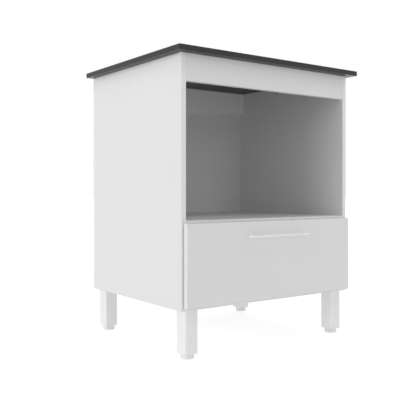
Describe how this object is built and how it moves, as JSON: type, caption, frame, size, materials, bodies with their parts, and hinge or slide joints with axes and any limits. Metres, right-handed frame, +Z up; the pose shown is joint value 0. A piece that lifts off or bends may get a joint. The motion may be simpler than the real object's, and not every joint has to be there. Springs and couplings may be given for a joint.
{
  "type": "cooktop base cabinet",
  "caption": "Kitchen base cabinet for a cooktop: dark overhanging worktop, open appliance niche above a deep drawer with a bar handle, on square fluted legs.",
  "frame": {"origin": "on the floor, under the middle of the whole cabinet with its handle", "axes": "+Z up, +X to the right seen from the front, +Y to the back; the drawer opens towards -Y"},
  "size_m": [0.7, 0.549, 0.84],
  "materials": {
    "worktop_laminate": "particle board with a fine-textured graphite laminate",
    "white_board": "particle board with satin white melamine and edge bands",
    "front_board": "particle board with satin white melamine and edge bands",
    "drawer_board": "thin particle board with satin white melamine",
    "back_board": "hardboard, painted white inside and raw brown behind",
    "drawer_floor_board": "hardboard, painted white above and raw brown below",
    "leg_plastic": "moulded white polypropylene, satin",
    "foot_plastic": "moulded white polypropylene, satin",
    "handle_plastic": "moulded white plastic, glossy",
    "runner_steel": "folded steel, powder coated white",
    "roller_nylon": "moulded natural nylon, satin",
    "axle_steel": "riveted bright steel",
    "zinc_steel": "zinc plated",
    "cam_alloy": "die-cast zinc alloy",
    "dowel_beech": "beech with pressed grooves",
    "bumper_rubber": "soft clear bumper pads"
  },
  "bodies": {
    "cabinet": {"worktop": "worktop_laminate", "side_panel_left": "white_board", "side_panel_right": "white_board", "base_panel": "white_board", "niche_shelf": "white_board", "front_rail": "white_board", "back_rail": "white_board", "back_panel": "back_board", "back_nails": "zinc_steel", "leg_front_left": "leg_plastic", "leg_front_right": "leg_plastic", "leg_back_left": "leg_plastic", "leg_back_right": "leg_plastic", "leg_screws": "zinc_steel", "carcass_cams": "cam_alloy", "carcass_cam_bolts": "zinc_steel", "carcass_dowels": "dowel_beech", "worktop_brackets": "zinc_steel", "bracket_screws": "zinc_steel", "cabinet_runner_left": "runner_steel", "cabinet_runner_right": "runner_steel", "cabinet_runner_screws": "zinc_steel", "cabinet_roller_axles": "axle_steel"},
    "drawer": {"drawer_front": "front_board", "drawer_side_left": "drawer_board", "drawer_side_right": "drawer_board", "drawer_back": "drawer_board", "drawer_bottom": "drawer_floor_board", "drawer_floor_screws": "zinc_steel", "drawer_back_screws": "zinc_steel", "drawer_cams": "cam_alloy", "drawer_cam_bolts": "zinc_steel", "drawer_dowels": "dowel_beech", "drawer_bumpers": "bumper_rubber", "drawer_runner_left": "runner_steel", "drawer_runner_right": "runner_steel", "drawer_runner_screws": "zinc_steel", "drawer_roller_axles": "axle_steel", "handle": "handle_plastic", "handle_screws": "zinc_steel"},
    "cabinet_roller_left": {"cabinet_roller_left": "roller_nylon"},
    "cabinet_roller_right": {"cabinet_roller_right": "roller_nylon"},
    "drawer_roller_left": {"drawer_roller_left": "roller_nylon"},
    "drawer_roller_right": {"drawer_roller_right": "roller_nylon"},
    "foot_front_left": {"foot_front_left": "foot_plastic"},
    "foot_front_right": {"foot_front_right": "foot_plastic"},
    "foot_back_left": {"foot_back_left": "foot_plastic"},
    "foot_back_right": {"foot_back_right": "foot_plastic"}
  },
  "joints": [
    {"name": "drawer_slide", "type": "slide", "parent": "cabinet", "child": "drawer", "axis": [0, -1, 0], "range_m": [0, 0.345]},
    {"name": "cabinet_roller_left_spin", "type": "hinge", "parent": "cabinet", "child": "cabinet_roller_left", "pos_m": [-0.3046, -0.2135, 0.1717], "axis": [1, 0, 0], "continuous": true},
    {"name": "cabinet_roller_right_spin", "type": "hinge", "parent": "cabinet", "child": "cabinet_roller_right", "pos_m": [0.3046, -0.2135, 0.1717], "axis": [1, 0, 0], "continuous": true},
    {"name": "drawer_roller_left_spin", "type": "hinge", "parent": "drawer", "child": "drawer_roller_left", "pos_m": [-0.3029, 0.2045, 0.17135], "axis": [1, 0, 0], "continuous": true},
    {"name": "drawer_roller_right_spin", "type": "hinge", "parent": "drawer", "child": "drawer_roller_right", "pos_m": [0.3029, 0.2045, 0.17135], "axis": [1, 0, 0], "continuous": true},
    {"name": "foot_front_left_thread", "type": "slide", "parent": "cabinet", "child": "foot_front_left", "axis": [0, 0, -1], "range_m": [0, 0.01]},
    {"name": "foot_front_right_thread", "type": "slide", "parent": "cabinet", "child": "foot_front_right", "axis": [0, 0, -1], "range_m": [0, 0.01]},
    {"name": "foot_back_left_thread", "type": "slide", "parent": "cabinet", "child": "foot_back_left", "axis": [0, 0, -1], "range_m": [0, 0.01]},
    {"name": "foot_back_right_thread", "type": "slide", "parent": "cabinet", "child": "foot_back_right", "axis": [0, 0, -1], "range_m": [0, 0.01]}
  ],
  "couplings": [
    {"joint": "cabinet_roller_left_spin", "follows": "drawer_slide", "rad_per_m": 100},
    {"joint": "cabinet_roller_right_spin", "follows": "drawer_slide", "rad_per_m": 100},
    {"joint": "drawer_roller_left_spin", "follows": "drawer_slide", "rad_per_m": 100},
    {"joint": "drawer_roller_right_spin", "follows": "drawer_slide", "rad_per_m": 100}
  ]
}
